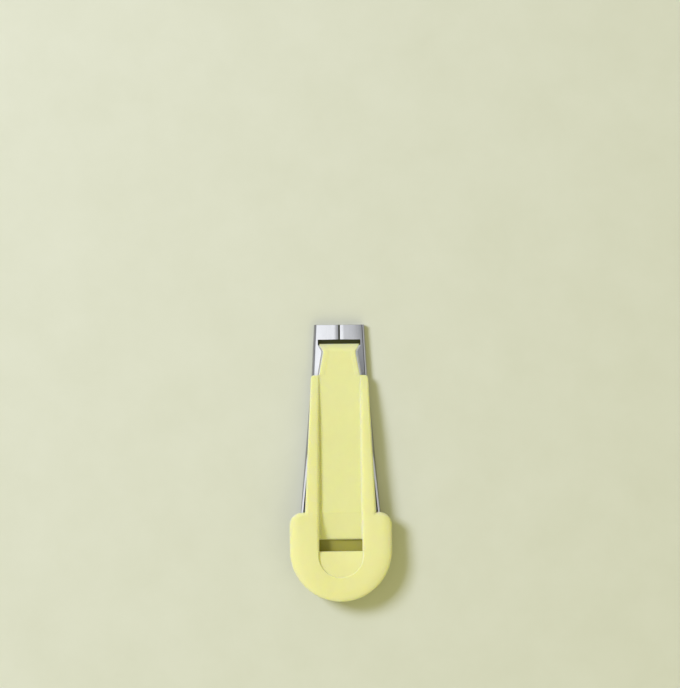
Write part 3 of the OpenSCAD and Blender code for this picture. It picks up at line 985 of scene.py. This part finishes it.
# Olive plastic of the former, painted darker as shade for where it shows at the bottom of the slot
INNER_PAINTED_SHADE = plastic(
    "inner_plastic",
    light=srgb(0.67, 0.65, 0.30),
    dark=srgb(0.65, 0.63, 0.285),
    edge=srgb(0.67, 0.65, 0.30),
    roughness=0.5,
)

# Folded sheet

verts, faces, sheared = sheet_mesh()
metal = new_object("folded_sheet", verts, faces)
face_outwards(metal)
cut_edge = metal.data.attributes.new("cut_edge", "FLOAT", "FACE")
cut_edge.data.foreach_set("value", [float(flag) for flag in sheared])
dress(metal, STEEL, METAL_SHARP)
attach(metal, "root")
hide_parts("metal_body")

# Moulded guide

guide = new_object("moulded_guide", *guide_mesh())
cut(guide, [
    new_object("cut_slot", *slot_mesh()),
    new_object("cut_recess", *recess_mesh()),
    new_object("cut_groove_r", *groove_mesh(1)),
    new_object("cut_groove_l", *groove_mesh(-1)),
])
dress(guide, YELLOW, PLASTIC_SHARP)
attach(guide, "root")
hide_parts("web_guide")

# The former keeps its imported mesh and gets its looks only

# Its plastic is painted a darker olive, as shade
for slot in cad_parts["fabric_former"].material_slots:
    slot.material = INNER_PAINTED_SHADE

# Floor

FLOOR_HALF = 1.2

floor_mesh = bpy.data.meshes.new("floor")
corners = [(x * FLOOR_HALF, y * FLOOR_HALF, 0) for x, y in ((-1, -1), (1, -1), (1, 1), (-1, 1))]
floor_mesh.from_pydata(corners, [], [(0, 1, 2, 3)])
floor_mesh.materials.append(paper())
floor = bpy.data.objects.new("floor", floor_mesh)
bpy.context.scene.collection.objects.link(floor)

# Lamps, in metres and watts

AIM = Vector((0, 0, 3 * MM))
COOL = (0.68, 0.70, 1.0)
WARM = (1.0, 0.97, 0.7)


def area(name, place, size, power, colour=(1, 1, 1)):
    data = bpy.data.lights.new(name, "AREA")
    data.shape = "RECTANGLE"
    data.size, data.size_y = size
    data.energy = power
    data.color = colour
    lamp = bpy.data.objects.new(name, data)
    lamp.location = place
    lamp.rotation_euler = (AIM - Vector(place)).to_track_quat("-Z", "Y").to_euler()
    bpy.context.scene.collection.objects.link(lamp)
    return lamp


key = area("key", place=(-0.62, 0.36, 0.74), size=(0.34, 0.34), power=10.9, colour=COOL)
key.visible_glossy = False
# What shines on the plastic comes from a lamp of its own, which the folds of the metal don't mirror upwards
gloss = area("gloss", place=(-0.35, 0.75, 0.74), size=(0.34, 0.34), power=1.6)
gloss.visible_diffuse = False
area("fill", place=(0.75, -0.5, 0.8), size=(0.9, 0.9), power=1.8, colour=WARM)
area("front", place=(0.1, -0.9, 0.6), size=(0.8, 0.5), power=1.2, colour=WARM)

# World

SOFT_COLOUR = (1.0, 0.98, 0.48, 1.0)
SOFT_STRENGTH = 0.41

# Grey that the metal mirrors, by the direction's part along X, and its slight tint
STUDIO_GREYS = [
    (-1.0, 0.30), (-0.62, 0.27), (-0.55, 0.5), (-0.5, 1.1), (-0.2, 1.15),
    (-0.05, 1.08), (0.0, 0.9), (0.04, 0.74), (0.12, 0.50), (0.26, 0.36),
    (0.48, 0.30), (0.54, 0.05), (0.78, 0.05), (0.86, 0.5), (1.0, 0.5),
]
STUDIO_RED, STUDIO_BLUE = 0.98, 1.02


def studio_world():
    """Even soft light, and for reflections a studio that is bright at the left and overhead."""
    world = bpy.data.worlds.new("studio")
    bpy.context.scene.world = world
    m = Nodes(world)
    soft = m.tree.nodes["Background"]
    m.give(soft.inputs["Color"], SOFT_COLOUR)
    m.give(soft.inputs["Strength"], SOFT_STRENGTH)
    across = m.span(m.axis(m.coord.outputs["Generated"], "X"), start=-1.0)
    stops = [((x + 1) / 2, (grey * STUDIO_RED, grey, grey * STUDIO_BLUE, 1)) for x, grey in STUDIO_GREYS]
    shown = m.add("ShaderNodeBackground")
    m.give(shown.inputs["Color"], m.ramp(across, stops))
    blend = m.add("ShaderNodeMixShader")
    m.give(blend.inputs["Fac"], m.add("ShaderNodeLightPath").outputs["Is Glossy Ray"])
    m.give(blend.inputs[1], soft.outputs[0])
    m.give(blend.inputs[2], shown.outputs[0])
    m.give(m.tree.nodes["World Output"].inputs["Surface"], blend.outputs[0])


studio_world()

# Camera, which looks straight down as the photograph does, with the tip up

PHOTO_W, PHOTO_H = 680, 688
PIXEL = 0.26 * MM
TOOL_PIXEL_X, TOOL_PIXEL_Y = 339.2, 462.25
CAMERA_TURN = -0.48
LENS, SENSOR = 180.0, 36.0

camera_data = bpy.data.cameras.new("camera")
camera_data.lens = LENS
camera_data.sensor_fit = "HORIZONTAL"
camera_data.sensor_width = SENSOR
camera_data.clip_end = 10
camera = bpy.data.objects.new("camera", camera_data)
camera.location = (
    (PHOTO_W / 2 - TOOL_PIXEL_X) * PIXEL,
    (TOOL_PIXEL_Y - PHOTO_H / 2) * PIXEL,
    PHOTO_W * PIXEL * LENS / SENSOR,
)
camera.rotation_euler = (0, 0, math.radians(CAMERA_TURN))
bpy.context.scene.collection.objects.link(camera)
bpy.context.scene.camera = camera

bpy.context.scene.view_settings.view_transform = "Standard"
